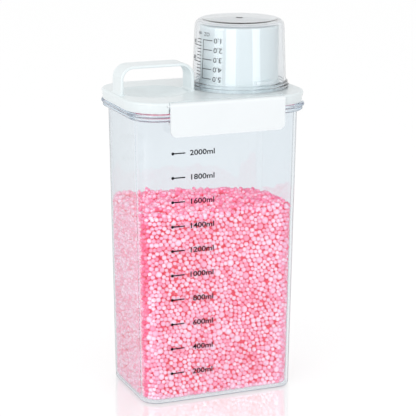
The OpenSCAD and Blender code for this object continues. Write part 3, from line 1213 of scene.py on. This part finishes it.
    def core(self, material: bpy.types.Material) -> bpy.types.Object:
        """The heart of the fill, a solid in the darker painted-shade finish, which closes the sight between
        the beads.

        Args:
            material: The bead finish, the darker copy with painted shade.

        Returns:
            The core.
        """
        low = self.jar.floor + self.core_rise
        high = self.level - self.core_drop
        rings = []
        for share in (0.0, 0.25, 0.5, 0.75, 1.0):
            z = low + (high - low) * share
            rings.append(self.jar.outline.ring(self.jar.inner_offset(z) - self.core_inset, z))
        points, faces = skin(rings)
        made = mesh_object("beads_core", points, faces, material)
        return hand_over(made, Body.CONTAINER, "fill_pink", "beads")


# White parts and the seal.


@dataclass(frozen=True)
class WhiteParts:
    """The carried-over parts, which get rounded edges and their finish."""

    lid_edge: float = 0.45
    latch_edge: float = 0.6

    def dress(self, name: str, material: bpy.types.Material, edge: float) -> None:
        """Gives a CAD node its finish and rounds its edges.

        Args:
            name: The node.
            material: Its material.
            edge: Radius of its edges in millimetres.
        """
        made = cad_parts[name]
        made.data.materials.clear()
        made.data.materials.append(material)
        if edge > 0:
            bevel = made.modifiers.new("Rounded edges", "BEVEL")
            bevel.width = edge * MM
            bevel.segments = 3
            bevel.limit_method = "ANGLE"
            bevel.angle_limit = math.radians(40)
            bevel.harden_normals = True
        log.info("%s: finish %s", name, material.name)


# The studio.


@dataclass(frozen=True)
class Lamp:
    """A soft lamp that faces a point."""

    name: str
    place: tuple[float, float, float]
    size: tuple[float, float]
    power: float
    target: tuple[float, float, float] = (0.0, 0.0, 0.15)

    def build(self) -> bpy.types.Object:
        """Makes the lamp.

        Returns:
            The lamp.
        """
        data = bpy.data.lights.new(self.name, "AREA")
        data.shape = "RECTANGLE"
        data.size, data.size_y = self.size
        data.energy = self.power
        made = bpy.data.objects.new(self.name, data)
        made.location = self.place
        made.rotation_euler = (Vector(self.target) - Vector(self.place)).to_track_quat("-Z", "Y").to_euler()
        made.visible_camera = False
        bpy.context.scene.collection.objects.link(made)
        return made


@dataclass(frozen=True)
class Studio:
    """Camera, lamps, floor and surroundings."""

    camera_at: tuple[float, float, float] = (-0.47968309, -1.17906653, 0.4670326)
    right: tuple[float, float, float] = (0.9251411, -0.37960895, 0.00331531)
    up: tuple[float, float, float] = (0.09015433, 0.22818073, 0.96943579)
    back: tuple[float, float, float] = (-0.36876299, -0.896566, 0.24532276)
    lens: float = 141.86
    ambient: float = 0.76
    floor_half: float = 6000.0
    lamps: tuple[Lamp, ...] = (
        Lamp("left_box", (-0.62, -0.66, 0.41), (0.44, 0.6), 1.5),
        Lamp("right_box", (0.34, -0.88, 0.41), (0.34, 0.6), 1.3),
        Lamp("side_box", (-1.3, -0.3, 0.5), (0.6, 0.8), 2.3),
    )

    def camera(self) -> None:
        """Sets the camera at the photograph's view."""
        data = bpy.data.cameras.new("camera")
        data.lens = self.lens
        data.sensor_width = 36.0
        made = bpy.data.objects.new("camera", data)
        axes = Matrix((self.right, self.up, self.back)).transposed()
        made.matrix_world = Matrix.Translation(self.camera_at) @ axes.to_4x4()
        bpy.context.scene.collection.objects.link(made)
        bpy.context.scene.camera = made

    def floor(self, finish: StudioFloor) -> None:
        """Lays the floor.

        Args:
            finish: The floor's finish.
        """
        half = self.floor_half
        corners = [(-half, -half, 0.0), (half, -half, 0.0), (half, half, 0.0), (-half, half, 0.0)]
        made = mesh_object("floor", corners, [[0, 1, 2, 3]], finish.make())

    def surroundings(self) -> None:
        """Makes the white surroundings, which light the object gently."""
        world = bpy.data.worlds.new("surroundings")
        bpy.context.scene.world = world
        world.use_nodes = True
        tree = Tree(world.node_tree)
        strength = tree.math("ADD", seen_directly(tree, 1.0 - self.ambient), self.ambient)
        inputs = {"Color": (1.0, 1.0, 1.0, 1.0), "Strength": strength}
        light = tree.node("ShaderNodeBackground", inputs)
        tree.node("ShaderNodeOutputWorld", {"Surface": light.outputs["Background"]})

    def build(self) -> None:
        """Makes the whole studio."""
        self.camera()
        self.surroundings()
        for lamp in self.lamps:
            lamp.build()
        self.floor(FLOOR)
        bpy.context.scene.view_settings.view_transform = "Standard"


WHITE = OpaquePlastic("lid_plastic", (0.85, 0.915, 0.93), 0.24, 900.0, 22.0, 0.03, 0.25, 0.1)
LATCH_WHITE = OpaquePlastic("latch_plastic", (0.9, 0.94, 0.96), 0.26, 900.0, 22.0, 0.03, 0.2, 0.1)
SEAL = OpaquePlastic("seal_rubber", (0.78, 0.8, 0.82), 0.55, 1500.0, 60.0, 0.05, 0.3)
INK = OpaquePlastic("black_ink", (0.012, 0.012, 0.016), 0.5, 2000.0, 200.0, 0.2, 0.2, 0.0, 0.1)
FLOOR = StudioFloor("studio_floor", (0.68, 0.68, 0.68), 0.35, 0.45)
JAR_CLEAR = ClearPlastic(
    name="jar_plastic",
    face=(0.9, 0.93, 0.95),
    # painted shade colour for walls seen edge on and for undersides
    edge=(0.14, 0.16, 0.18),
    turn=(0.66, 0.78),
    upright=0.5,
    under=0.7,
    late=4.5,
    tint=(0.3, 0.45, 0.6),
    density=20.0,
    flow=18.0,
)
CUP_CLEAR = ClearPlastic(
    name="cup_plastic",
    face=(0.965, 0.972, 0.978),
    # painted shade colour for walls seen edge on, which draws the lip's lines
    edge=(0.2, 0.25, 0.29),
    turn=(0.8, 0.94),
    upright=4.0,
    under=0.0,
    late=7.5,
    tint=(0.34, 0.42, 0.48),
    density=66.0,
    flow=25.0,
)
BEADS = BeadCoat(
    name="bead_wax",
    deep=(0.94, 0.34, 0.49),
    middle=(0.95, 0.64, 0.8),
    pale=(0.97, 0.9, 0.98),
    roughness=0.38,
    # painted glow, then the painted shade at each bead's outline
    glow=(0.16, 0.01, 0.035),
    painted_rim_shade=(0.84, 0.02, 0.12),
    reach=2.0,
)
# Painted shade and painted glow: a copy of the bead wax with darker tones and wider shade at each bead's
# outline, for the top that lies in shade under the lid, with a stronger glow
TOP_SHADED_BEADS = BeadCoat(
    name="bead_wax_top_shaded",
    deep=(0.92, 0.22, 0.4),
    middle=(0.94, 0.58, 0.74),
    pale=(0.96, 0.9, 0.98),
    roughness=0.38,
    glow=(0.26, 0.02, 0.07),
    painted_rim_shade=(0.8, 0.01, 0.11),
    reach=1.4,
)
# Painted shade: a deeper copy of the bead wax for the front corners, standing in for the deeper strip that
# refraction in the rounded corners shows
CORNER_SHADED_BEADS = BeadCoat(
    name="bead_wax_corner_shaded",
    deep=(0.88, 0.08, 0.22),
    middle=(0.92, 0.18, 0.36),
    pale=(0.93, 0.36, 0.54),
    roughness=0.38,
    glow=(0.18, 0.01, 0.035),
    painted_rim_shade=(0.8, 0.03, 0.13),
    reach=1.5,
)
# Painted shade: a much darker copy of the bead wax for the beads behind the wall layer, under the top and in
# the core
SHADED_BEADS = BeadCoat(
    name="bead_wax_shaded",
    deep=(0.75, 0.01, 0.06),
    middle=(0.78, 0.02, 0.09),
    pale=(0.84, 0.04, 0.14),
    roughness=0.5,
    glow=(0.22, 0.002, 0.02),
    painted_rim_shade=(0.65, 0.01, 0.05),
    reach=2.0,
)


def main() -> None:
    """Builds every piece, then the studio."""
    logging.basicConfig(level=logging.INFO, format="%(name)s: %(message)s")
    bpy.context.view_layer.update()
    jar = Jar()
    cup = Cup()
    jar.build(JAR_CLEAR.make())
    Fill(jar).build(BEADS.make(), TOP_SHADED_BEADS.make(), CORNER_SHADED_BEADS.make(), SHADED_BEADS.make())
    cup.build(CUP_CLEAR.make())
    ink = INK.make()
    JarScale(jar).build(ink)
    CupScale(cup).build(ink)
    white = WhiteParts()
    white.dress("lid", WHITE.make(), white.lid_edge)
    latch = LATCH_WHITE.make()
    white.dress("front_latch", latch, white.latch_edge)
    white.dress("rear_latch", latch, white.latch_edge)
    white.dress("gasket", SEAL.make(), 0.0)
    Studio().build()


if __name__ == "__main__":
    main()
